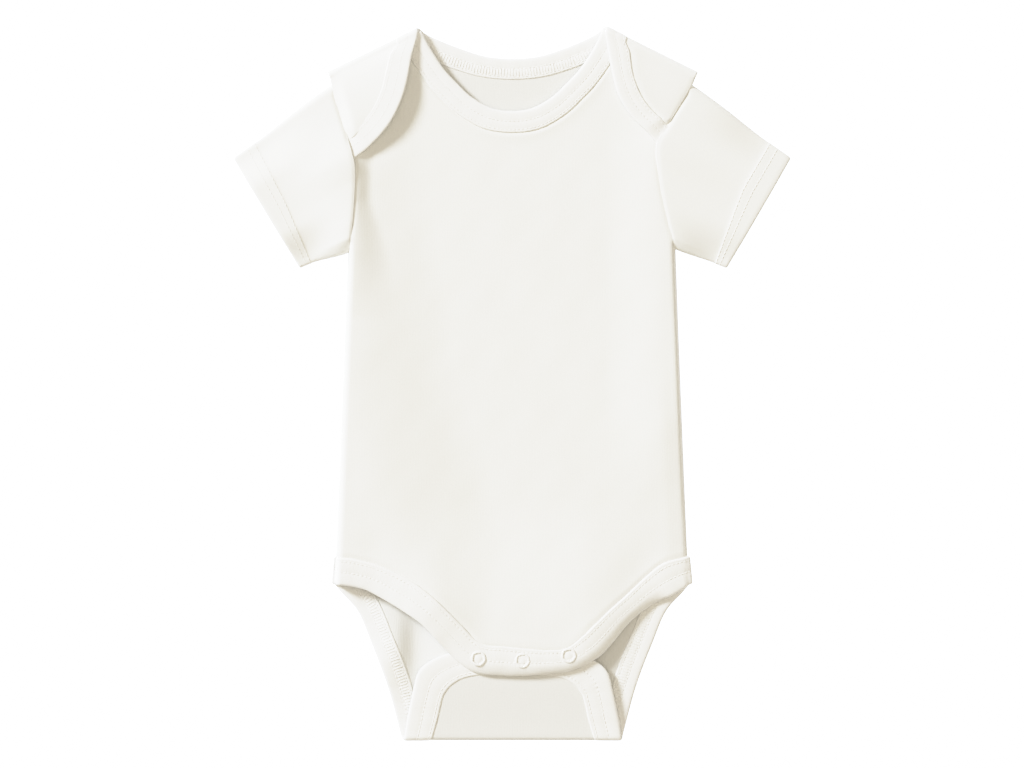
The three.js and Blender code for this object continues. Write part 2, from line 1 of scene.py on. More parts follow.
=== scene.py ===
import bpy
import numpy as np
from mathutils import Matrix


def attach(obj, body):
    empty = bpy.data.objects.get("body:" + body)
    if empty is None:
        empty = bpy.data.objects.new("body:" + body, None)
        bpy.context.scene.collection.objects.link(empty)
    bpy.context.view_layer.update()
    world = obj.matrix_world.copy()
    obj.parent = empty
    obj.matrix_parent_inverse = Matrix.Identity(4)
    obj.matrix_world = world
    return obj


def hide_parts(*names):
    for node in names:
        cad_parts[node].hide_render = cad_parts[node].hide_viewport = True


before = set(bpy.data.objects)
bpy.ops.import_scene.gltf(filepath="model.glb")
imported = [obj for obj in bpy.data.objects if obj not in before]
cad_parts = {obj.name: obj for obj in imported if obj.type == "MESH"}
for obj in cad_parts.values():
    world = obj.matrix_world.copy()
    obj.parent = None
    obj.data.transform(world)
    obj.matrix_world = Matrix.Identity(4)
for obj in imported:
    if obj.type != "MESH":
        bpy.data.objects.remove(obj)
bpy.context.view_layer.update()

# Baby bodysuit with lap shoulders, laid flat on its back. Sizes are in millimetres unless a name
# ends in _m, and left and right are as seen from above.

# Back panel
# The back of the body in cotton interlock, one layer. It lies flat, its two shoulder laps fold
# over the front and are sewn into the armholes, and its tab folds up at the crotch.
MM = 0.001
PANEL_HALF = 0.6  # half the thickness of a single wall
RIM_HALF = 0.3  # and of its rim inside a binding
TUCK = 3.0  # how far a panel's edge runs into its binding
STRIP_STEP = 1.1  # between the stations of a binding
EDGE_STEP = 2.2  # between the rows of a panel along its leg edges
FOLD_ROWS = 13  # round each folded edge
SHOULDER_COLUMNS = 20  # of a body panel between an armhole and the neck
# heights of the walls' middle above the table: back, front at the shoulders, waist, side seams
# and snaps, the front's hidden laps, the crotch tab and the fold that it comes from
BACK_Z = 0.6
SHOULDER_Z = 5.6
WAIST_Z = 4.4
SIDE_Z = 2.15
SNAP_Z = 10.0
HIDDEN_LAP_Z = 3.3
TAB_Z = 5.6
TAB_FOLD_Z = 4.4
CROTCH_FOLD_Y = -211.7
LAP_RISE = 2.2  # the back's laps above the front
RISE_WIDTH = 2.2  # the front climbs from its side seams within this width
# soft step down the front's left from under the lap to the hem: y, x where the step starts and
# ends, drop
SIDE_FOLD = [
    (-130, -60, -10, 4.6), (-88, -82, -6, 6), (-40, -93, -16, 6.2), (20, -102, -36, 6),
    (80, -98, -44, 3), (110, -96, -48, 2.4),
]
# and a narrower one that follows the armhole
ARM_FOLD = [(40, -98, -66, 0), (80, -96, -74, 3.8), (110, -96, -84, 3.8)]
RIGHT_RISE = 2.6  # a slight rise towards the right side
RIGHT_ROLL = 0.8  # which rolls down before the side seam below the waist
# where each shoulder fold ends at the armhole, and the way it faces
SHOULDER = {
    "left": ((-108.7, 183.7), (-0.4382, 0.8989)),
    "right": ((109.5, 183.6), (0.4472, 0.8944)),
}
# armhole seams from shoulder to underarm: x y
ARMHOLE = {
    "left": [
        (-108.7, 183.7), (-107.1, 176.2), (-102.6, 160.6), (-98.9, 148.2), (-95.4, 136),
        (-94.2, 130), (-94.2, 118.6), (-95.3, 100), (-97.2, 82),
    ],
    "right": [
        (109.5, 183.6), (106.8, 177.2), (99.6, 165.4), (92.9, 154.6), (87, 143.9),
        (86.9, 135.4), (89.4, 116.8), (93.6, 97.6), (97.8, 82),
    ],
}
# side seams from underarm to leg: x y
SIDE = {
    "left": [(-97.2, 82), (-98.4, 70), (-100.2, 24), (-102.5, -34), (-105.3, -103.8)],
    "right": [(97.8, 82), (98.2, 70), (99.8, 24), (102.1, -34), (105, -103.6)],
}
# binding along the back neck: free edge x y, seam x y
BACK_NECK = [
    (-53.1, 210.8, -65.4, 204.8),
    (-48.8, 208.4, -57.2, 199.4),
    (-42, 205.4, -47.6, 194.2),
    (-30, 200.8, -33.8, 188.9),
    (-16.2, 196.6, -18.4, 184.6),
    (0, 195.1, 0, 183),
    (16.2, 196.6, 18.4, 184.6),
    (30, 200.8, 33.8, 188.9),
    (42, 205.6, 47.6, 194.4),
    (48.8, 208.9, 57.2, 199.9),
    (53.1, 211.7, 65.4, 205.6),
]
# binding down each lap of the back, from the shoulder fold to the armhole
BACK_LAP = {
    "left": [
        (-56.6, 209.1, -68.7, 203.2),
        (-60.3, 195.5, -72.6, 196.5),
        (-62.2, 184.5, -74.8, 187.2),
        (-64.9, 173.4, -77.2, 177),
        (-68.2, 165, -79.8, 170.3),
        (-72.4, 157, -83.4, 163.5),
        (-77.2, 150.6, -87.2, 158.5),
        (-82.4, 145, -91.4, 153.9),
        (-88, 139.8, -95.6, 150.6),
        (-94.6, 134.8, -98.9, 148.2),
    ],
    "right": [
        (56, 210.3, 68, 204.3),
        (57.6, 200.6, 70.2, 199.4),
        (58.8, 193.7, 71, 193.7),
        (60.6, 184.5, 72.2, 186.3),
        (63, 175.3, 75.2, 177),
        (66, 168.8, 77.6, 172.2),
        (69.6, 163.1, 80.8, 167.3),
        (74.6, 157.2, 85.2, 162.4),
        (79.8, 152.3, 89.4, 158.6),
        (86.6, 144.3, 92.9, 154.6),
    ],
}
# binding along the back's leg edge from the side to the crotch fold, right half
BACK_LEG = [
    (106.6, -120.1, 105.3, -104.2),
    (102, -125.6, 93.4, -113.2),
    (94.2, -134, 83.6, -125.4),
    (90, -141.2, 77.8, -135.8),
    (84.3, -155.6, 71.8, -150.6),
    (78.3, -170.6, 65.6, -165.9),
    (73.2, -185.6, 60.3, -181.8),
    (69.3, -200, 56, -197.4),
    (66.3, -211.7, 52.5, -211.7),
]
# binding round the tab from the crotch fold to the middle, right half about TAB_X
TAB_X = 0.6
TAB_EDGE = [
    (64.8, -211.7, 48.3, -211.7),
    (63, -200.6, 45.2, -200.6),
    (60, -186.2, 42.4, -188.6),
    (56.4, -173, 40, -184),
    (49.2, -166.4, 36.4, -180.2),
    (37.2, -161.6, 30, -176.6),
    (24, -159.8, 20, -174.6),
    (0, -158.6, 0, -173.4),
]
LAP_LIFT = {"left": 5.5, "right": 0.5}  # the lap's free edge above lying flat
LAP_END = {"left": 0.02, "right": 0.03}  # how much of it runs on under the sleeve seam


def ramp(value, start, end):
    """A soft step from 0 where the value is start to 1 where it is end."""
    t = np.clip((value - start) / (end - start), 0.0, 1.0)
    return t * t * (3 - 2 * t)


def mix(a, b, t):
    """Points between a and b by their shares."""
    t = np.asarray(t, float)[..., None]
    return np.asarray(a, float) * (1 - t) + np.asarray(b, float) * t


def length(a, b):
    """Distance between points."""
    return np.linalg.norm(np.asarray(a) - np.asarray(b), axis=-1)


def curve(points):
    """A smooth curve through the points: a function of the share of its length, and that length."""
    points = np.array(points, float)
    at = np.append(0, np.cumsum(length(points[1:], points[:-1])))
    last = len(points) - 1
    low = np.maximum(np.arange(last + 1) - 1, 0)
    high = np.minimum(np.arange(last + 1) + 1, last)
    slope = (points[high] - points[low]) / (at[high] - at[low])[:, None]

    def read(share):
        s = np.asarray(share, float) * at[-1]
        i = np.clip(np.searchsorted(at, s, side="right") - 1, 0, last - 1)
        h = (at[i + 1] - at[i])[..., None]
        t = (s - at[i])[..., None] / h
        start = points[i] * (2 * t**3 - 3 * t**2 + 1) + points[i + 1] * (3 * t**2 - 2 * t**3)
        return start + h * (slope[i] * (t**3 - 2 * t**2 + t) + slope[i + 1] * (t**3 - t**2))

    return read, at[-1]


def stations(rows, step=STRIP_STEP):
    """Rows of free edge and seam, read closely along a binding."""
    read, size = curve(rows)
    return read(np.linspace(0, 1, int(np.ceil(size / np.sqrt(2) / step)) + 1))


def panel_edge(rows):
    """The panel's edge, tucked into the binding."""
    rows = np.asarray(rows, float)
    free, seam = rows[..., :2], rows[..., 2:]
    return mix(free, seam, 1 - TUCK / length(free, seam))


def swell(x, y):
    """The slight unevenness of cloth that was laid out by hand."""
    random = np.random.default_rng(11)
    z = 0
    for size in (90, 64, 47, 33, 26, 19):
        turn, phase = random.uniform(0, 2 * np.pi, 2)
        z = z + size * 0.0011 * np.sin((x * np.cos(turn) + y * np.sin(turn)) * 2 * np.pi / size + phase)
    return z


def front_height(x, y):
    """Height of the front panel's middle: high along the left side, with a soft step down to the
    middle, a slight rise to the right side, and a high hem over the snaps."""
    side_x = 98.3 + (70 - y) * 0.0395
    inside = np.maximum(side_x - np.abs(x), 0)
    reach = np.hypot(inside, np.maximum(y - 83, 0))
    climb = np.sin(np.pi / 2 * np.minimum(reach / RISE_WIDTH, 1))
    edge = SIDE_Z + 0.6 * ramp(y, -65, -103)
    chest = WAIST_Z + (SHOULDER_Z - WAIST_Z) * ramp(y, -20, 170)
    crotch = ramp(y, -70, -155) * ramp(np.abs(x), 88, 40)
    fold = 0
    for table in (SIDE_FOLD, ARM_FOLD):
        at, start, end, drop = np.array(table).T
        start, end = np.interp(y, at, start), np.interp(y, at, end)
        fold = fold + np.interp(y, at, drop) * (1 - ramp(x, start, end))
    fold = fold * ramp(y, 168, 124) * ramp(y, -165, -130)
    rise = RIGHT_RISE * ramp(x, 56, 92) * ramp(y, 165, 135) * ramp(y, -80, -20)
    roll = RIGHT_ROLL * ramp(inside, 13, 0) * ramp(y, 20, -40) * (x > 0)
    loft = chest + (SNAP_Z - WAIST_Z) * crotch + fold + rise - roll
    return edge + (loft - edge) * climb + ramp(y, 165, 135) * swell(x, y) * climb


def back_height(x, y):
    """Height of the back panel's middle: flat, with the small tuck that shows inside the left leg,
    between a bank on its left and a riser on its right."""
    fade = np.exp(-(((y + 158) / 24) ** 2))
    riser = 4.2 * ramp(x, -58, -36) * (1 - ramp(x, -30, -10))
    bank = 3.2 * ramp(x, -86, -74) * (1 - ramp(x, -70, -58))
    return BACK_Z + fade * ramp(y, CROTCH_FOLD_Y, CROTCH_FOLD_Y + 20) * (riser + bank)


def tab_height(y):
    """Height of the crotch tab's middle: it lies lower towards its fold."""
    return TAB_Z + (TAB_FOLD_Z - TAB_Z) * (1 - ramp(y, CROTCH_FOLD_Y, CROTCH_FOLD_Y + 40))


def binding_dip(xy, edge):
    """How far a panel is drawn down along the seam of its binding, beside a slight swelling."""
    away = np.min([length(xy, point) for point in edge[::3]], axis=0) - TUCK
    return 0.7 * np.exp(-((away / 1.1) ** 2)) - 0.4 * np.exp(-((away / 4.5) ** 2))


def seam_roll(distance):
    """How far cloth turns down beside a seam."""
    return 0.4 * np.exp(-((distance / 1.2) ** 2))


def body_grid(left, right, top, bottom, shares):
    """Rows of a body panel from the shoulders down, straight across between its sides, with the
    shapes of its top and bottom edges fading in."""

    def sag(edge):
        first, last = edge[0], edge[-1]
        share = (edge[:, 0] - first[0]) / (last[0] - first[0])
        return np.interp(shares, share, edge[:, 1] - first[1] - (last[1] - first[1]) * share)

    down = np.append(0, np.cumsum(length(left[1:], left[:-1])))
    v = (down / down[-1])[:, None]
    grid = mix(left[:, None], right[:, None], shares[None])
    grid[..., 1] += np.clip(1 - v / 0.4, 0, 1) ** 1.4 * sag(top)
    grid[..., 1] += np.clip((v - 0.6) / 0.4, 0, 1) * sag(bottom)
    return grid


def body_sides(more_left, more_right):
    """Both sides of a body panel from the shoulders down, in step."""
    share = np.linspace(0, 1, 60)
    sides = []
    for side, more in (("left", more_left), ("right", more_right)):
        arm, _ = curve(ARMHOLE[side])
        seam, _ = curve(SIDE[side])
        sides.append(np.concatenate([arm(share), seam(np.linspace(0, 1, 95))[1:], more]))
    return sides


def body_shares(edge):
    """Shares of the width for a panel's columns, close together at the sides, with the neck's
    ends on columns of their own."""
    (tip_left, _), (tip_right, _) = SHOULDER["left"], SHOULDER["right"]
    wide = tip_right[0] - tip_left[0]
    start, end = (edge[0, 0] - tip_left[0]) / wide, (edge[-1, 0] - tip_left[0]) / wide
    close = np.linspace(0, 1, SHOULDER_COLUMNS + 1) ** 1.4
    middle = np.linspace(start, end, 62)[1:-1]
    return np.concatenate([start * close, middle, 1 - (1 - end) * close[::-1]])


def block(xy, z, half, cut):
    """A grid of points with their height, half thickness and place in the flat cut."""
    shape = xy.shape[:2]
    parts = [xy, np.broadcast_to(z, shape)[..., None], np.broadcast_to(half, shape)[..., None], cut]
    return np.concatenate(parts, axis=-1)


def lap(side, row, neck_station, table, over):
    """A shoulder fold and the lap beyond it: a block of the panel, and the free edge and seam of
    its binding. The row is the panel's own edge at the shoulder, from the armhole inwards."""
    tip, out = np.array(SHOULDER[side][0]), np.array(SHOULDER[side][1])
    start = BACK_Z if over else SHOULDER_Z
    end = SHOULDER_Z + LAP_RISE if over else HIDDEN_LAP_Z
    radius = (end - start) / 2
    shares = length(row[:, :2], tip)
    shares = shares / shares[-1]
    arm, _ = curve(ARMHOLE[side])
    read, size = curve(table)
    fine = np.linspace(0, 1, 801)
    arm_end = fine[np.argmin(length(arm(fine), table[-1][2:]))]

    def bend(xy, t):
        """Points carried round the shoulder fold."""
        angle = np.pi * np.broadcast_to(t, xy.shape[:-1])
        reach = abs(radius) * np.sin(angle)
        return np.concatenate([xy + reach[..., None] * out,
                               (start + radius * (1 - np.cos(angle)))[..., None]], axis=-1)

    def heights(xy, t, w):
        """Heights on the lap, by the share t of its length and w of its width."""
        x, y = xy[..., 0], xy[..., 1]
        if not over:
            return np.full(x.shape, end)
        rise = 0.45 * ramp(length(xy, arm(t * arm_end)), 0, 7) + 0.55 * w
        lift = LAP_LIFT[side] * np.maximum(np.sin(np.pi * t), 0) ** 0.9 * rise
        return front_height(x, y) + LAP_RISE + lift - 1.4 * ramp(t, 0.85, 1)

    def mirrored(xy):
        """Places in the flat cut, beyond the fold."""
        away = ((tip - xy) @ out)[..., None]
        return xy + (2 * away + abs(radius) * np.pi) * out

    turn = np.linspace(0, 1, FOLD_ROWS)
    seams = mix(panel_edge(neck_station), panel_edge(table[0]), turn)
    xy = mix(tip, seams[:, None], shares[None])
    folded = bend(xy, turn[:, None])
    folded[0] = row[:, :3]
    cut = xy + (abs(radius) * np.pi * turn)[:, None, None] * out
    first = block(folded[..., :2], folded[..., 2], PANEL_HALF, cut)

    t = np.linspace(0, 1, 50)[1:]
    free, seam = read(t)[:, :2], read(t)[:, 2:]
    arm_points = arm(t * arm_end)
    seam_share = length(arm_points, seam) / length(arm_points, free)
    xy = mix(arm_points[:, None], panel_edge(read(t))[:, None], shares[None])
    w = shares[None] * seam_share[:, None]
    roll = seam_roll(length(xy, arm_points[:, None]))
    dip = binding_dip(xy, panel_edge(read(t))) if side == "right" else 0
    z = heights(xy, t[:, None], w) - roll - dip
    second = block(xy, z, PANEL_HALF, mirrored(xy))
    panel = np.concatenate([first, second])
    panel[:, -1, 3] = RIM_HALF

    turn = turn[1:]
    edges = mix(neck_station, table[0], turn)
    t = np.linspace(0, 1 + LAP_END[side] * over, int(size / np.sqrt(2) / STRIP_STEP))[1:]
    rows = read(t)
    share = length(arm(t * arm_end), rows[:, 2:]) / length(arm(t * arm_end), rows[:, :2])
    along_free = np.column_stack([rows[:, :2], heights(rows[:, :2], t, np.ones_like(t))])
    along_seam = np.column_stack([rows[:, 2:], heights(rows[:, 2:], t, np.minimum(share, 1))])
    return panel, np.stack([
        np.concatenate([bend(edges[:, :2], turn), along_free]),
        np.concatenate([bend(edges[:, 2:], turn), along_seam]),
    ], axis=1)


def cloth(name, blocks, material):
    """A shell round the blocks' middle surface, its rims rounded. Gives the object and its outer
    and inner points in the order of the blocks."""
    raw = np.concatenate([part.reshape(-1, 6) for part in blocks])
    rounded = np.round(raw[:, :3], 2)
    _, first, joined = np.unique(rounded, axis=0, return_index=True, return_inverse=True)
    joined = joined.ravel()
    corners = []
    start = 0
    for part in blocks:
        rows, columns = part.shape[:2]
        grid = start + np.arange(rows * columns).reshape(rows, columns)
        start += rows * columns
        a, b, c, d = grid[:-1, :-1], grid[1:, :-1], grid[1:, 1:], grid[:-1, 1:]
        corners += [np.stack([a, b, c], -1).reshape(-1, 3), np.stack([a, c, d], -1).reshape(-1, 3)]
    corners = np.concatenate(corners)
    faces = joined[corners]
    whole = (faces != np.roll(faces, 1, axis=1)).all(axis=1)
    corners, faces = corners[whole], faces[whole]
    points, half = raw[first, :3], raw[first, 3:4]
    count = len(points)
    a, b, c = points[faces].swapaxes(0, 1)
    facing = np.cross(b - a, c - a)
    normal = np.zeros_like(points)
    for k in range(3):
        np.add.at(normal, faces[:, k], facing)
    normal /= np.linalg.norm(normal, axis=1)[:, None]

    edges = np.concatenate([faces[:, [0, 1]], faces[:, [1, 2]], faces[:, [2, 0]]])
    raw_edges = np.concatenate([corners[:, [0, 1]], corners[:, [1, 2]], corners[:, [2, 0]]])
    rim = ~np.isin(edges[:, 0] * count + edges[:, 1], edges[:, 1] * count + edges[:, 0])
    edges, raw_edges = edges[rim], raw_edges[rim]
    away = np.zeros_like(points)
    for k in range(2):
        tangent = points[edges[:, 1]] - points[edges[:, 0]]
        np.add.at(away, edges[:, k], np.cross(tangent, normal[edges[:, k]]))
    on_rim = np.unique(edges)
    away = away[on_rim] / np.linalg.norm(away[on_rim], axis=1)[:, None]
    middle = np.zeros(count, int)
    middle[on_rim] = 2 * count + np.arange(len(on_rim))
    a, b = edges.T
    raw_a, raw_b = raw_edges.T
    vertices = np.concatenate([points + normal * half, points - normal * half,
                               points[on_rim] + away * half[on_rim] * 0.9])
    vertices[:, 2] = np.maximum(vertices[:, 2], 0)
    triangles = np.concatenate([
        faces,
        faces[:, ::-1] + count,
        np.stack([b, a, middle[a]], -1),
        np.stack([b, middle[a], middle[b]], -1),
        np.stack([middle[b], middle[a], a + count], -1),
        np.stack([middle[b], a + count, b + count], -1),
    ])
    rim_raw = [np.stack([raw_b, raw_a, raw_a], -1), np.stack([raw_b, raw_a, raw_b], -1)]
    uv = raw[np.concatenate([corners, corners[:, ::-1], *rim_raw, *rim_raw]), 4:6]
    made = shell_object(name, vertices, triangles, material)
    made.data.uv_layers.new(name="cut").data.foreach_set("uv", uv.ravel())
    return made, (points + normal * half)[joined], (points - normal * half)[joined]


def shell_object(name, vertices, faces, material):
    """A smooth-shaded object from vertices in millimetres and faces."""
    mesh = bpy.data.meshes.new(name)
    mesh.from_pydata((vertices * MM).tolist(), [], faces.tolist())
    mesh.polygons.foreach_set("use_smooth", np.ones(len(faces), bool))
    mesh.materials.append(material)
    made = bpy.data.objects.new(name, mesh)
    bpy.context.scene.collection.objects.link(made)
    return made


def node(tree, kind, **settings):
    """A shader node with its properties and, by socket name, its unlinked values."""
    made = tree.nodes.new(kind)
    for key, value in settings.items():
        if hasattr(made, key):
            setattr(made, key, value)
        else:
            made.inputs[key.replace("_", " ")].default_value = value
    return made


def sum_of(tree, operation, a, b=None, c=None):
    """A maths node whose inputs are sockets or numbers."""
    made = tree.nodes.new("ShaderNodeMath")
    made.operation = operation
    for socket, value in zip(made.inputs, (a, b, c)):
        if value is None:
            continue
        if isinstance(value, (int, float)):
            socket.default_value = value
        else:
            tree.links.new(value, socket)
    return made.outputs[0]


def knit_group():
    """Knit face on the flat cut: rounded wales of slanted stitches, uneven yarn and fluff. Gives a
    colour factor, with the yarn's own random mottle and painted shade between the wales and loops,
    and the bumped normal for the width of a wale, the height of a course and the depth of the relief."""
    tree = bpy.data.node_groups.new("knit_face", "ShaderNodeTree")
    for name in ("Wale", "Course", "Relief"):
        tree.interface.new_socket(name, in_out="INPUT", socket_type="NodeSocketFloat")
    tree.interface.new_socket("Mottle and shade", in_out="OUTPUT", socket_type="NodeSocketFloat")
    tree.interface.new_socket("Normal", in_out="OUTPUT", socket_type="NodeSocketVector")
    given, result = node(tree, "NodeGroupInput"), node(tree, "NodeGroupOutput")
    cut = node(tree, "ShaderNodeUVMap", uv_map="cut")
    drift = node(tree, "ShaderNodeTexNoise", Scale=0.11, Detail=2.0)
    tree.links.new(cut.outputs["UV"], drift.inputs["Vector"])
    apart = node(tree, "ShaderNodeSeparateXYZ")
    tree.links.new(cut.outputs["UV"], apart.inputs[0])
    shift = sum_of(tree, "MULTIPLY", drift.outputs["Fac"], 1.4)
    x = sum_of(tree, "ADD", apart.outputs["X"], shift)
    y = sum_of(tree, "ADD", apart.outputs["Y"], shift)
    across = sum_of(tree, "DIVIDE", x, given.outputs["Wale"])
    along = sum_of(tree, "DIVIDE", y, given.outputs["Course"])
    slant = sum_of(tree, "PINGPONG", across, 0.5)
    ridge = sum_of(tree, "SINE", sum_of(tree, "MULTIPLY", sum_of(tree, "FRACT", across), np.pi))
    phase = sum_of(tree, "MULTIPLY", sum_of(tree, "ADD", along, slant), 2 * np.pi)
    loop = sum_of(tree, "MULTIPLY_ADD", sum_of(tree, "SINE", phase), 0.2, 0.8)
    fluff = node(tree, "ShaderNodeTexNoise", Scale=2.6, Detail=3.0, Roughness=0.7)
    tree.links.new(cut.outputs["UV"], fluff.inputs["Vector"])
    yarn = sum_of(tree, "MULTIPLY", ridge, loop)
    height = sum_of(tree, "MULTIPLY_ADD", fluff.outputs["Fac"], 0.8, yarn)
    bump = node(tree, "ShaderNodeBump", Strength=1.0)
    tree.links.new(sum_of(tree, "MULTIPLY", given.outputs["Relief"], MM), bump.inputs["Distance"])
    tree.links.new(height, bump.inputs["Height"])
    cloudy = node(tree, "ShaderNodeTexNoise", Scale=1.1, Detail=2.0, Roughness=0.5)
    tree.links.new(cut.outputs["UV"], cloudy.inputs["Vector"])
    mottle = sum_of(tree, "MULTIPLY_ADD", cloudy.outputs["Fac"], 0.08, 0.945)
    # painted shade: darker in the hollows between wales and loops, over the yarn's own random mottle
    mottle_and_shade = sum_of(tree, "MULTIPLY_ADD", yarn, 0.02, mottle)
    tree.links.new(mottle_and_shade, result.inputs["Mottle and shade"])
    tree.links.new(bump.outputs["Normal"], result.inputs["Normal"])
    return tree


def knit_material(name, colour, wale, course, relief):
    """Soft cotton: the knit face with a faint nap that lightens at grazing angles."""
    made = bpy.data.materials.new(name)
    made.use_nodes = True
    tree = made.node_tree
    shader = tree.nodes["Principled BSDF"]
    shader.inputs["Roughness"].default_value = 0.92
    shader.inputs["Specular IOR Level"].default_value = 0.18
    shader.inputs["Sheen Weight"].default_value = 0.12
    shader.inputs["Sheen Roughness"].default_value = 0.6
    face = node(tree, "ShaderNodeGroup", node_tree=KNIT_FACE)
    face.inputs["Wale"].default_value = wale
    face.inputs["Course"].default_value = course
    face.inputs["Relief"].default_value = relief
    tint = node(tree, "ShaderNodeVectorMath", operation="SCALE")
    tint.inputs[0].default_value = colour
    tree.links.new(face.outputs["Mottle and shade"], tint.inputs["Scale"])
    tree.links.new(tint.outputs[0], shader.inputs["Base Color"])
    tree.links.new(face.outputs["Normal"], shader.inputs["Normal"])
    return made


KNIT_FACE = knit_group()
KNIT = {"wale": 0.95, "course": 0.8, "relief": 0.04}
INTERLOCK = knit_material("interlock", (0.878, 0.867, 0.824), **KNIT)
PAINTED_SHADE_KNIT = knit_material("interlock_painted_shade", (0.8, 0.788, 0.747), **KNIT)  # a darker copy of the knit: painted shade for the back where it lies under the front


def place(made, node_name):
    """The piece stands for its solid."""
    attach(made, "root")
    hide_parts(node_name)


def back_panel():
    """The back with its laps and tab, and by side the free edge and seam of each lap's binding."""
    leg = panel_edge(stations(BACK_LEG, EDGE_STEP))
    neck = panel_edge(stations(BACK_NECK))
    left, right = body_sides(leg * (-1, 1), leg)
    tips = [SHOULDER["left"][0], SHOULDER["right"][0]]
    top = np.vstack([tips[0], neck, tips[1]])
    bottom = np.vstack([left[-1], right[-1]])
    shares = body_shares(neck)
    grid = body_grid(left, right, top, bottom, shares)
    x, y = grid[..., 0], grid[..., 1]
    side = np.minimum(length(grid, left[:, None]), length(grid, right[:, None]))
    sewn = ramp(y, -106, -102) * ramp(y, 180, 174)
    half = np.full(x.shape, PANEL_HALF)
    half[0, SHOULDER_COLUMNS:-SHOULDER_COLUMNS] = RIM_HALF
    half[-len(leg):, [0, -1]] = RIM_HALF
    z = back_height(x, y) + 0.5 * seam_roll(side) * sewn
    body = block(grid, z, half, grid)
    count = SHOULDER_COLUMNS + 1
    laps = {
        "left": lap("left", body[0, :count], BACK_NECK[0], BACK_LAP["left"], True),
        "right": lap("right", body[0, : -count - 1 : -1], BACK_NECK[-1], BACK_LAP["right"], True),
    }
    edge = panel_edge(stations(TAB_EDGE, EDGE_STEP))
    edge = edge[edge[:, 0] > 20]
    radius = (TAB_FOLD_Z - BACK_Z) / 2
    turn = np.linspace(0, 1, FOLD_ROWS)[:, None]
    first = mix((TAB_X - edge[0, 0], edge[0, 1]), (TAB_X + edge[0, 0], edge[0, 1]), shares)
    fold = mix(grid[-1][None], first[None], turn)
    fold_cut = fold - np.stack([np.zeros_like(turn), radius * np.pi * turn], -1)
    fold[..., 1] -= radius * np.sin(np.pi * turn)
    z = BACK_Z + radius * (1 - np.cos(np.pi * turn))
    fold_block = block(fold, z, PANEL_HALF, fold_cut)
    fold_block[0] = body[-1]
    ends = edge[1:, None]
    tab = mix(ends * (-1, 1) + (TAB_X, 0), ends + (TAB_X, 0), shares[None])
    tab_cut = tab * (1, -1) + (0, 2 * CROTCH_FOLD_Y - radius * np.pi)
    tab_block = block(tab, tab_height(tab[..., 1]), PANEL_HALF, tab_cut)
    low = np.concatenate([fold_block, tab_block])
    low[1:, [0, -1], 3] = RIM_HALF
    low[-1, :, 3] = RIM_HALF
    blocks = [body, laps["left"][0][::-1], laps["right"][0][::-1, ::-1], low]
    made, _, _ = cloth("back", blocks, INTERLOCK)
    # the back's body, crotch fold and tab, seen through the openings and under the hem, take the darker
    # copy of the knit as painted shade
    made.data.materials.append(PAINTED_SHADE_KNIT)
    centres = np.empty(3 * len(made.data.polygons))
    made.data.polygons.foreach_get("center", centres)
    _, y, z = centres.reshape(-1, 3).T / MM
    in_painted_shade = (y < 130) | (z < 3)
    made.data.polygons.foreach_set("material_index", in_painted_shade.astype(np.int32))
    return made, {side: binding for side, (_, binding) in laps.items()}


back, back_laps = back_panel()
place(back, "back_panel")
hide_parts("crotch_tab")

# Front panel
# The front of the body in the same interlock, lying over the back with its own two shoulder laps
# folded inside it. It is sewn to the back at the sides and to the sleeves at the armholes.

# binding along the front neck: free edge x y, seam x y
FRONT_NECK = [
    (-54.2, 210.3, -66.5, 204.3),
    (-49.2, 200.9, -60.6, 194.4),
    (-40.8, 188.3, -50.8, 180.5),
    (-32.4, 179.3, -41.4, 170.3),
    (-24, 171.5, -31.3, 161.1),
    (-12, 164.9, -16.2, 152.9),
    (0, 163.2, 0, 150.7),
    (12, 164.9, 16.2, 152.9),
    (24, 171.5, 31.3, 161.1),
    (32.4, 179.3, 41.4, 170.3),
    (40.8, 188.3, 50.8, 180.5),
    (49.2, 200.9, 60.6, 194.8),
    (54.2, 211.2, 66.5, 205.1),
]
# binding down each lap of the front, from the shoulder fold to the armhole
FRONT_LAP = {
    "left": [
        (-54.2, 210.3, -66.5, 204.3),
        (-57.6, 196, -70.2, 197.6),
        (-62.4, 181, -74.6, 184.6),
        (-70, 169, -80.6, 176),
        (-79, 161, -87.6, 170.4),
        (-89, 155.6, -95.4, 167),
        (-99.8, 152.4, -103.9, 165.2),
    ],
    "right": [
        (54.2, 211.2, 66.5, 205.1),
        (57.6, 196.5, 70.2, 198),
        (62, 182, 74.2, 185.4),
        (68.5, 170.5, 79.6, 176.8),
        (76.5, 162.5, 85.4, 171),
        (84, 157, 92.2, 167.2),
        (91.2, 152.4, 98.9, 164.4),
    ],
}
# binding along the front's leg edges and snap hem from left to right
FRONT_LEG = [
    (-106.5, -120.1, -105.3, -104.3),
    (-98.4, -120.7, -96, -105),
    (-87.4, -123.2, -82.8, -108.2),
    (-74.8, -129.9, -69, -113.7),
    (-63, -137.1, -55.8, -121.2),
    (-53.3, -144.3, -43.8, -131),
    (-39.4, -159.4, -29.4, -145.4),
    (-30.2, -167.9, -22.2, -153.1),
    (-21, -173, -15.6, -156.4),
    (-7.2, -174.6, -5.4, -157.2),
    (5.4, -174.8, 5.4, -158.3),
    (22.2, -173.4, 21, -159.5),
    (36.6, -171.2, 32.4, -158.3),
    (51.7, -163.7, 42.6, -151.1),
    (60.2, -155.2, 50.4, -143.6),
    (68.6, -145.1, 59.4, -135.2),
    (77, -137.6, 68.4, -127.4),
    (87.1, -130.8, 79.2, -117.2),
    (98, -125.7, 91.2, -107.9),
    (106.8, -120.2, 105.2, -104.1),
]


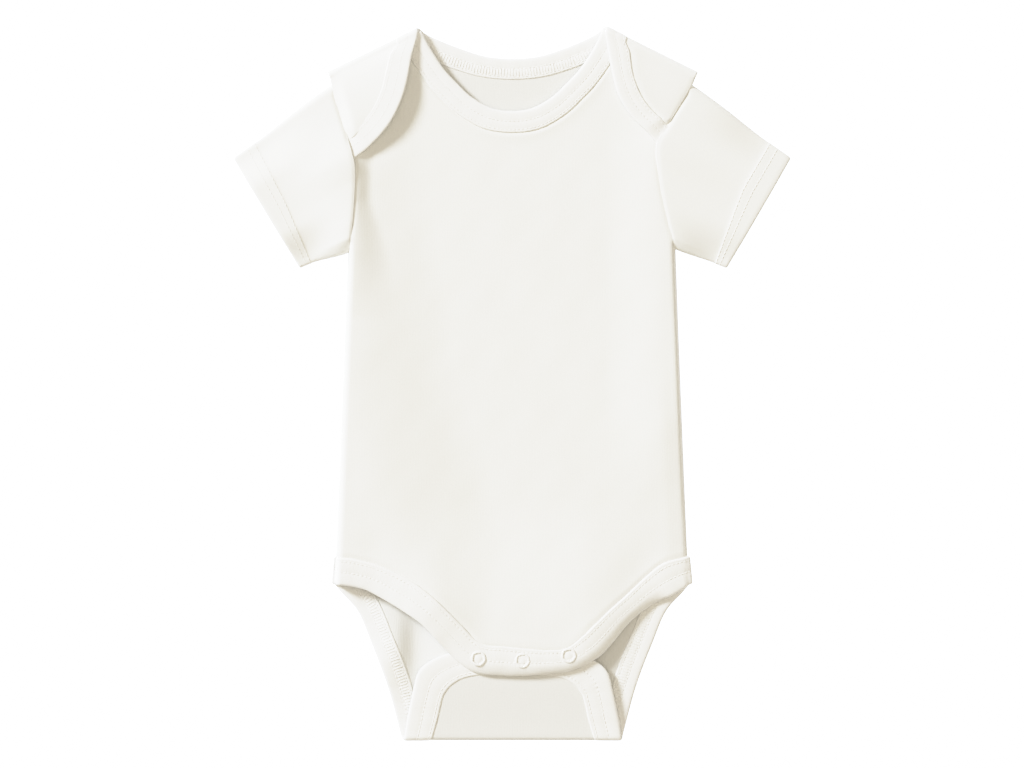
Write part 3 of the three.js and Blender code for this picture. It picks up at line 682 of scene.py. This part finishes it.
def front_panel():
    """The front with its laps, and by side the free edge and seam of each lap's binding."""
    leg = panel_edge(stations(FRONT_LEG))
    neck = panel_edge(stations(FRONT_NECK))
    left, right = body_sides(leg[:1], leg[-1:])
    tips = [SHOULDER["left"][0], SHOULDER["right"][0]]
    grid = body_grid(left, right, np.vstack([tips[0], neck, tips[1]]), leg, body_shares(neck))
    x, y = grid[..., 0], grid[..., 1]
    side = np.minimum(length(grid, left[:, None]), length(grid, right[:, None]))
    below = 0.35 * np.exp(-((side / 1.6) ** 2)) * ramp(y, 82, 72)
    sewn = ramp(y, 180, 174)
    half = np.full(x.shape, PANEL_HALF)
    half[0, SHOULDER_COLUMNS:-SHOULDER_COLUMNS] = RIM_HALF
    half[-1] = RIM_HALF
    z = front_height(x, y) - seam_roll(side) * sewn - below
    z -= binding_dip(grid, np.concatenate([neck, leg]))
    body = block(grid, z, half, grid)
    count = SHOULDER_COLUMNS + 1
    laps = {
        "left": lap("left", body[0, :count], FRONT_NECK[0], FRONT_LAP["left"], False),
        "right": lap("right", body[0, : -count - 1 : -1], FRONT_NECK[-1], FRONT_LAP["right"], False),
    }
    blocks = [body, laps["left"][0][::-1], laps["right"][0][::-1, ::-1]]
    made, _, _ = cloth("front", blocks, INTERLOCK)
    return made, {side: binding for side, (_, binding) in laps.items()}


front, front_laps = front_panel()
place(front, "front_panel")

# Neck bindings
# A strip of the same knit folded round the raw edge of each neck and on down the free edges of
# its laps, held by a coverstitch: two needle rows outside, and loops laid across between them.
STRIP_RISE = 0.3  # the strip's middle above its panel's
# share of the width from free edge to seam, and half the thickness there
STRIP_SECTION = [
    (0, 0.42), (0.02, 0.66), (0.06, 0.84), (0.12, 0.93), (0.2, 0.96), (0.3, 0.96), (0.38, 0.93),
    (0.44, 0.83), (0.47, 0.78), (0.5, 0.83), (0.56, 0.92), (0.66, 0.94), (0.76, 0.91),
    (0.84, 0.8), (0.87, 0.75), (0.9, 0.8), (0.95, 0.84), (0.985, 0.78), (1, 0.55),
]
ROW_COLUMNS = (8, 14)  # the two needle rows in the section above
STITCH = 2.5  # from one needle stitch to the next
LOOP = 1.75  # from one loop across to the next
NEEDLE_THREAD = 0.22
LOOP_THREAD = 0.2
BINDING = knit_material("binding_knit", (0.9, 0.886, 0.85), **KNIT)
THREAD = knit_material("sewing_thread", (0.93, 0.918, 0.885), wale=0.25, course=0.3, relief=0.03)


def strip(name, pairs, flush=0.0, droop=0.0):
    """A binding strip from its stations, each a free edge point and a seam point. By station, it
    may be flush with its panel at the seam, and its free edge may droop."""
    free, seam = pairs[:, 0], pairs[:, 1]
    w, half = np.array(STRIP_SECTION).T
    middle = (free + seam) / 2
    s = np.append(0, np.cumsum(length(middle[1:], middle[:-1])))[:, None]
    points = mix(free[:, None], seam[:, None], w[None])
    flush, droop = (np.broadcast_to(value, len(pairs))[:, None] for value in (flush, droop))
    points[..., 2] += STRIP_RISE * (1 - flush) - droop * np.clip(1 - w / 0.45, 0, 1) ** 2
    pull = np.exp(-(((w - 0.87) / 0.07) ** 2)) + np.exp(-(((w - 0.47) / 0.07) ** 2))
    pucker = 0.1 * np.sin(2 * np.pi * s / 2.6 + 1.7 * np.sin(s / 19) + 2.2 * w) * pull
    sway = 0.03 * np.sin(2 * np.pi * s / 11.3 + 2 * np.sin(s / 31))
    thick = half + (np.where(w < 0.12, half * 0.75, 0.66) - half) * flush
    thick = thick + (pucker * (1 - flush) + sway) * np.minimum(half / 0.8, 1)
    wide = length(free, seam)[:, None] * w
    cut = np.stack([np.broadcast_to(s, wide.shape), wide], -1)
    made, outer, inner = cloth(name, [block(points[..., :2], points[..., 2], thick, cut)], BINDING)
    return made, outer.reshape(points.shape), inner.reshape(points.shape)


def tubes(paths, ups, radii):
    """Short round threads along paths, each a row of stations: vertices and faces."""
    tangent = np.gradient(paths, axis=1)
    tangent /= np.linalg.norm(tangent, axis=-1, keepdims=True)
    side = np.cross(tangent, ups)
    side /= np.linalg.norm(side, axis=-1, keepdims=True)
    up = np.cross(side, tangent)
    angle = np.linspace(0, 2 * np.pi, 6)[:-1]
    ring = (np.cos(angle)[:, None] * side[:, :, None] + np.sin(angle)[:, None] * up[:, :, None])
    points = paths[:, :, None] + ring * radii[None, :, None, None]
    count, rows = paths.shape[:2]
    index = np.arange(points[..., 0].size).reshape(count, rows, 5)
    after = np.roll(index, -1, axis=2)
    faces = np.stack([index[:, :-1], after[:, :-1], after[:, 1:], index[:, 1:]], -1)
    return points.reshape(-1, 3), faces.reshape(-1, 4)


def coverstitch(name, inside, outside, rows, sunk=0.0):
    """Threads of a coverstitch: needle stitches along two rows of a grid of points on both faces,
    by station more or less sunk in the outside, and loops laid across between them inside."""
    vertices, faces = [], []
    total = 0
    for grid, other in ((inside, outside), (outside, inside)):
        up = grid - other
        up /= np.linalg.norm(up, axis=-1, keepdims=True)
        sets = []
        for column in rows:
            line = grid[:, column]
            s = np.append(0, np.cumsum(length(line[1:], line[:-1])))
            at = np.arange(0.5, s[-1] - STITCH, STITCH)[:, None] + np.array([0, 0.35, 1.75, 2.1])
            path, normal = (np.stack([np.interp(at, s, values[:, k]) for k in range(3)], -1)
                            for values in (line, up[:, column]))
            lift = np.array([-0.15, 0.06, 0.06, -0.15])
            if grid is outside:
                lift = lift - np.interp(at, s, np.broadcast_to(sunk, len(s)))
            sets.append((path + normal * lift[..., None], normal, NEEDLE_THREAD))
        if grid is inside:
            line = grid[:, rows[0]]
            s = np.append(0, np.cumsum(length(line[1:], line[:-1])))
            at = (np.arange(int(s[-1] / LOOP)) + 0.5) * LOOP
            index = np.interp(at, s, np.arange(len(line)))
            low = np.floor(index).astype(int)
            high = np.minimum(low + 1, len(line) - 1)
            across = np.linspace(rows[0], rows[1], 6)
            left, right = np.floor(across).astype(int), np.ceil(across).astype(int)
            near = grid[:, left] + (grid[:, right] - grid[:, left]) * (across - left)[:, None]
            near_up = up[:, np.round(across).astype(int)]
            share = (index - low)[:, None, None]
            path = near[low] * (1 - share) + near[high] * share
            normal = near_up[low] * (1 - share) + near_up[high] * share
            lift = np.array([-0.1, 0.04, 0.06, 0.06, 0.04, -0.1])[None, :, None]
            sets.append((path + normal * lift, normal, LOOP_THREAD))
        for path, normal, thick in sets:
            radii = thick * np.array([0.4] + [1] * (path.shape[1] - 2) + [0.4])
            v, f = tubes(path, normal, radii)
            vertices.append(v)
            faces.append(f + total)
            total += len(v)
    vertices, faces = np.concatenate(vertices), np.concatenate(faces)
    vertices[:, 2] = np.maximum(vertices[:, 2], 0)
    threads = shell_object(name, vertices, faces, THREAD)
    threads.data.uv_layers.new(name="cut").data.foreach_set("uv", vertices[faces.ravel(), :2].ravel())
    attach(threads, "root")
    return threads


def flat_pairs(rows, height):
    """Free edge and seam of a binding on a panel of the given height."""
    free = np.column_stack([rows[:, :2], height(rows[:, 0], rows[:, 1])])
    seam = np.column_stack([rows[:, 2:], height(rows[:, 2], rows[:, 3])])
    return np.stack([free, seam], axis=1)


def flat_back(x, y):
    return np.full(np.shape(x), BACK_Z)


def neck_binding(name, laps, rows, height):
    """A strip up the left lap, along the neck and down the right lap, with its coverstitch. It is
    flush with the left lap, and its outer stitches are sunk there."""
    pairs = np.concatenate([laps["left"][::-1], flat_pairs(stations(rows), height), laps["right"]])
    count = len(laps["left"])
    flush = ramp(np.arange(len(pairs)), count - 8, count - 16)
    made, lower, upper = strip(name + "_strip", pairs, flush)
    place(made, name)
    inside, outside = (upper, lower) if name == "neck_binding_back" else (lower, upper)
    return made, coverstitch(name + "_stitches", inside, outside, ROW_COLUMNS, 0.14 * flush)


neck_back, stitches = neck_binding("neck_binding_back", back_laps, BACK_NECK, flat_back)
neck_front, stitches = neck_binding("neck_binding_front", front_laps, FRONT_NECK, front_height)

# Leg binding
# One strip folded round both leg edges: the front's hem with the snaps, the sides, the back's leg
# edges and the tab that folds up under the hem. The same coverstitch holds it.
LEG_STEP = 0.95  # between its stations
HEM_DROOP = 2.3  # how far the free edge of the hem droops, from the left snap to the right side


def leg_binding():
    """The whole strip as one closed loop, with its coverstitch."""
    hem = flat_pairs(stations(FRONT_LEG, LEG_STEP), front_height)
    x = hem[:, 0, 0]
    droop = HEM_DROOP * ramp(x, -48, -34) * ramp(x, 98, 83)
    back_right = flat_pairs(stations(BACK_LEG, LEG_STEP), back_height)
    tab_right = flat_pairs(stations(TAB_EDGE, LEG_STEP), lambda x, y: tab_height(y))

    def mirror(pairs):
        return (pairs * (-1, 1, 1))[::-1]

    tab = np.concatenate([tab_right, mirror(tab_right)[1:]]) + (TAB_X, 0, 0)
    back_left = mirror(flat_pairs(stations(BACK_LEG, LEG_STEP), lambda x, y: back_height(-x, y)))

    def turn(start, end, out, count):
        """Stations round a fold from one edge to the next, bulging outwards."""
        t = np.linspace(0, 1, count)[1:-1, None]
        at = mix(start[None], end[None], t)
        rise = (end[:, 2] - start[:, 2])[None]
        at[..., 2] = (start[:, 2] + end[:, 2]) / 2 - np.cos(np.pi * t) * rise / 2
        at[..., :2] += (np.abs(rise) / 2 * np.sin(np.pi * t))[..., None] * out
        return at

    loop = np.concatenate([
        hem, turn(hem[-1], back_right[0], (1, 0), 8),
        back_right, turn(back_right[-1], tab[0], (0, -1), 12),
        tab, turn(tab[-1], back_left[0], (0, -1), 12),
        back_left, turn(back_left[-1], hem[0], (-1, 0), 8), hem[:1],
    ])
    droop = np.append(droop, np.zeros(len(loop) - len(droop)))
    made, outside, inside = strip("leg_binding_strip", loop, droop=droop)
    place(made, "leg_binding")
    return made, coverstitch("leg_binding_stitches", inside, outside, ROW_COLUMNS)


leg, stitches = leg_binding()

# Sleeves
# Short set-in sleeves of the same interlock, pressed flat. Each is a tube sewn to the armhole,
# its hem turned in and held by a coverstitch.
# hem from its upper to its lower corner: x y
SLEEVE = {
    "left": ((-166.1, 134.3), (-128.1, 71.1)),
    "right": ((166.4, 134.3), (129.6, 71.1)),
}
# shares of the armhole seam where the sleeve's edges meet it
ARM_TOP = 0.075
ARM_UNDER = 0.98
ARM_RIDGE = {"left": 0.9, "right": 0.3}  # the sleeve seam above the front beside it
ARM_LOFT = {"left": 7.4, "right": 7.8}  # height of the middle of the sleeve at its hem
LAP_STEP = 1.7  # its climb to the laps, and where that starts
LAP_STEP_Y = {"left": 119, "right": 126}
SLEEVE_HEM = 11.7
HEM_ROWS = (0.02, 0.075)  # the two needle rows above the hem's inner edge, by sleeve length


def sleeve(side):
    """A flat tube from the underside's wall round the lower edge to the upper wall and back,
    row by row from the armhole to the hem, with its coverstitch."""
    hem_top, hem_under = np.array(SLEEVE[side][0]), np.array(SLEEVE[side][1])
    sign = -1 if side == "left" else 1
    arm, _ = curve(ARMHOLE[side])
    u = np.linspace(0, 1, 45)
    share = ARM_UNDER + (ARM_TOP - ARM_UNDER) * u
    a, b = arm(np.maximum(share - 0.01, 0)), arm(np.minimum(share + 0.01, 1))
    normal = np.stack([-(b - a)[:, 1], (b - a)[:, 0]], -1) / length(a, b)[:, None] * sign
    at_arm = arm(share) - normal * 0.1
    at_hem = mix(hem_under, hem_top, u)
    size = length((at_arm[0] + at_arm[-1]) / 2, (hem_top + hem_under) / 2)
    hem_share = 1 - SLEEVE_HEM / size
    edge = np.minimum(u, 1 - u)
    arm_x, arm_y = arm(share).T
    step_y = LAP_STEP_Y[side]
    ridge = ARM_RIDGE[side] * ramp(edge, 0, 0.15)
    seam_z = front_height(arm_x, arm_y) + ridge + LAP_STEP * ramp(arm_y, step_y, step_y + 22)
    close = np.linspace(0, 1, 9)[:-1] ** 1.6 * 0.08
    down = np.concatenate([close, np.linspace(0.08, hem_share - 0.012, 26),
                           hem_share + np.array([-0.004, 0.004, 0.014]),
                           np.linspace(hem_share + 0.03, 0.985, 7), [0.993, 1]])
    rows = []
    for v in down:
        plan = mix(at_arm, at_hem, v)
        top_radius, under_radius = 3.05 - 1.75 * ramp(v, 0, 1 / 1.4), 0.85 + 0.25 * v
        end = BACK_Z + 2 * np.where(u > 0.5, top_radius, under_radius)
        away = end + (ARM_LOFT[side] - end) * ramp(edge, 0, 0.3)
        high = seam_z + (away - seam_z) * ramp(v, 0, 0.85)
        roll = seam_roll(v * size) * (1 + 1.6 * ramp(arm_y, step_y + 21, step_y + 29))
        rest = 0.5 * seam_roll(v * size)
        fall = ramp(edge, 0, 0.04)
        inside = PANEL_HALF + 0.2 * ramp(v, hem_share - 0.025, hem_share + 0.025)
        groove = 0.05 * np.exp(-(((v - hem_share) / 0.008) ** 2))
        half = inside - groove - 0.3 * ramp(v, 0.985, 1)
        lift = inside - PANEL_HALF
        waves = 0.2 * swell(plan[:, 0] * 1.3, plan[:, 1] * 1.3) * ramp(v, 0, 0.2) * fall
        low = np.column_stack([plan, np.full(len(u), BACK_Z + rest)])
        top = np.column_stack([plan, high - roll * fall + waves])
        # the rounded upper and lower edge of the tube
        arcs = []
        for k, facets in ((-1, 9), (0, 7)):
            reach = plan[k] - plan[-2 if k else 1]
            reach = reach / np.linalg.norm(reach)
            radius = (top[k, 2] - low[k, 2]) / 2
            angle = np.linspace(0, np.pi, facets)[1:-1]
            arcs.append(np.column_stack([
                plan[k] + radius * np.sin(angle)[:, None] * reach,
                low[k, 2] + radius * (1 - np.cos(angle))]))
        loop = np.concatenate([low, arcs[0], top[::-1], arcs[1][::-1], low[:1]])
        loop[:, 2] += lift
        around = np.append(0, np.cumsum(length(loop[1:], loop[:-1])))
        half_row = np.full(len(loop), half)
        cut = np.column_stack([around, np.full(len(loop), v * size)])
        rows.append(np.column_stack([loop, half_row, cut]))
    grid = np.array(rows if side == "left" else rows[::-1])
    made, outer, inner = cloth("sleeve_" + side + "_tube", [grid], INTERLOCK)
    place(made, "sleeve_" + side)
    outer, inner = (points.reshape(*grid.shape[:2], 3).swapaxes(0, 1) for points in (outer, inner))
    at = grid[:, 0, 5] / size
    needles = [int(np.argmin(np.abs(at - hem_share - v))) for v in HEM_ROWS]
    return made, coverstitch("sleeve_" + side + "_stitches", inner, outer, needles)


for side in ("left", "right"):
    tube, stitches = sleeve(side)

# Snaps
# Three ring snaps close the crotch: a ring on the hem with the cloth domed inside it, a socket
# under the hem, a stud on the tab and a ring behind it. Off-white enamel on metal.
# their centres: x y
SNAPS = [(-20.1, -164.3), (6.3, -165.5), (33.9, -162.5)]
RING_BASE = 11.15  # height of the hem's outside under the rings
PRONGS = 5
# sections from the inside outwards: radius, height above the base
RING_SECTION = [
    (3.0, -0.15), (3.05, 0.3), (3.25, 0.52), (3.5, 0.6),
    (3.9, 0.6), (4.25, 0.52), (4.55, 0.3), (4.65, -0.15),
]
DOME_SECTION = [(0, 0.3), (0.8, 0.28), (1.6, 0.2), (2.2, 0.06), (2.6, -0.12), (2.8, -0.4)]


def enamel_material():
    """Satin enamel, very slightly cloudy."""
    made = bpy.data.materials.new("enamel")
    made.use_nodes = True
    tree = made.node_tree
    shader = tree.nodes["Principled BSDF"]
    shader.inputs["Roughness"].default_value = 0.42
    shader.inputs["Coat Weight"].default_value = 0.15
    cloudy = node(tree, "ShaderNodeTexNoise", Scale=900.0, Detail=3.0)
    blend = node(tree, "ShaderNodeMix", data_type="RGBA")
    blend.inputs[6].default_value = (0.86, 0.845, 0.81, 1)
    blend.inputs[7].default_value = (0.91, 0.9, 0.87, 1)
    tree.links.new(cloudy.outputs["Fac"], blend.inputs[0])
    tree.links.new(blend.outputs[2], shader.inputs["Base Color"])
    return made


ENAMEL = enamel_material()


def turned(name, centre, section, closed, material):
    """A turned part on the hem, its inner edge notched where the prongs go down."""
    angle = np.linspace(0, 2 * np.pi, 73)[:-1]
    section = np.array(section)
    radius, z = section[:, 0][:, None], section[:, 1][:, None]
    notch = ramp(np.cos(PRONGS * angle + 0.6), 0.7, 0.95) * (radius > 2.9) * (radius < 3.6)
    radius = radius + 0.1 * notch
    points = np.stack([
        centre[0] + radius * np.cos(angle),
        centre[1] + radius * np.sin(angle),
        RING_BASE + z - 0.3 * notch], -1)
    rows, columns = points.shape[:2]
    index = np.arange(rows * columns).reshape(rows, columns)
    following, after = np.roll(index, -1, axis=0), np.roll(index, -1, axis=1)
    faces = np.stack([index, after, np.roll(following, -1, axis=1), following], -1)
    faces = (faces if closed else faces[:-1]).reshape(-1, 4)
    return shell_object(name, points.reshape(-1, 3), faces[:, ::-1], material)


def snap(number, centre):
    """The ring that shows, and the cloth domed inside it."""
    ring = turned("snap_ring_%d_cap" % number, centre, RING_SECTION, True, ENAMEL)
    place(ring, "snap_ring_%d" % number)
    dome = turned("snap_dome_%d" % number, centre, DOME_SECTION, False, BINDING)
    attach(dome, "root")


for number, centre in enumerate(SNAPS, 1):
    snap(number, centre)
for name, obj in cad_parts.items():
    if name.startswith(("snap_socket", "snap_stud", "snap_back_ring")):
        obj.data.materials.clear()
        obj.data.materials.append(ENAMEL)

# Floor, light and camera
# A plain pale table, a soft key light from the upper left and a wide soft fill. The camera looks
# straight down, as in the photo.
TABLE_HALF = 3000
TABLE_Z = -0.05


def floor():
    """The table, which runs out to white as the camera sees it."""
    made = bpy.data.materials.new("table_top")
    made.use_nodes = True
    tree = made.node_tree
    shader = tree.nodes["Principled BSDF"]
    shader.inputs["Roughness"].default_value = 1.0
    shader.inputs["Base Color"].default_value = (0.97, 0.97, 0.97, 1)
    shader.inputs["Specular IOR Level"].default_value = 0.0
    shader.inputs["Emission Color"].default_value = (0.8, 0.87, 1, 1)
    seen = node(tree, "ShaderNodeLightPath").outputs["Is Camera Ray"]
    tree.links.new(sum_of(tree, "MULTIPLY_ADD", seen, 1.6, 0.5), shader.inputs["Emission Strength"])
    turns = ((-1, -1), (1, -1), (1, 1), (-1, 1))
    corners = np.array([(x * TABLE_HALF, y * TABLE_HALF, TABLE_Z) for x, y in turns])
    table = shell_object("floor", corners, np.array([[0, 1, 2, 3]]), made)


def light(name, place_m, size_m, watts, colour):
    """A round soft light aimed at the garment."""
    data = bpy.data.lights.new(name, "AREA")
    data.shape = "DISK"
    data.size = size_m
    data.energy = watts
    data.color = colour
    made = bpy.data.objects.new(name, data)
    made.location = place_m
    direction = -made.location
    made.rotation_euler = direction.to_track_quat("-Z", "Y").to_euler()
    bpy.context.scene.collection.objects.link(made)


floor()
light("key", (-5.7, 3.99, 3.75), 2.0, 825, (0.826, 0.89, 0.99))
light("fill", (0.3, -0.2, 2.6), 2.4, 22.5, (1.0, 0.924, 0.774))
world = bpy.data.worlds.new("studio")
world.use_nodes = True
world.node_tree.nodes["Background"].inputs["Color"].default_value = (1.0, 0.924, 0.774, 1)
world.node_tree.nodes["Background"].inputs["Strength"].default_value = 0.41
bpy.context.scene.world = world

# white cloth keeps its shading and the table runs out to white
view = bpy.context.scene.view_settings
view.view_transform = "Standard"
view.use_curve_mapping = True
tone = view.curve_mapping
tone.white_level = (2.0, 2.0, 2.0)
tone.extend = "HORIZONTAL"
tone.initialize()
for scene_value, shown_value in (
    (0.5, 0.5), (0.7, 0.69), (0.85, 0.8), (1.0, 0.875), (1.2, 0.925), (1.5, 0.965), (1.8, 1.0),
):
    tone.curves[3].points.new(scene_value / 2, shown_value)
tone.update()

camera_data = bpy.data.cameras.new("camera")
camera_data.lens = 100
camera_data.sensor_width = 36
camera_data.clip_end = 20
camera = bpy.data.objects.new("camera", camera_data)
camera.location = (0, -0.00015, 1.7117)
bpy.context.scene.collection.objects.link(camera)
bpy.context.scene.camera = camera
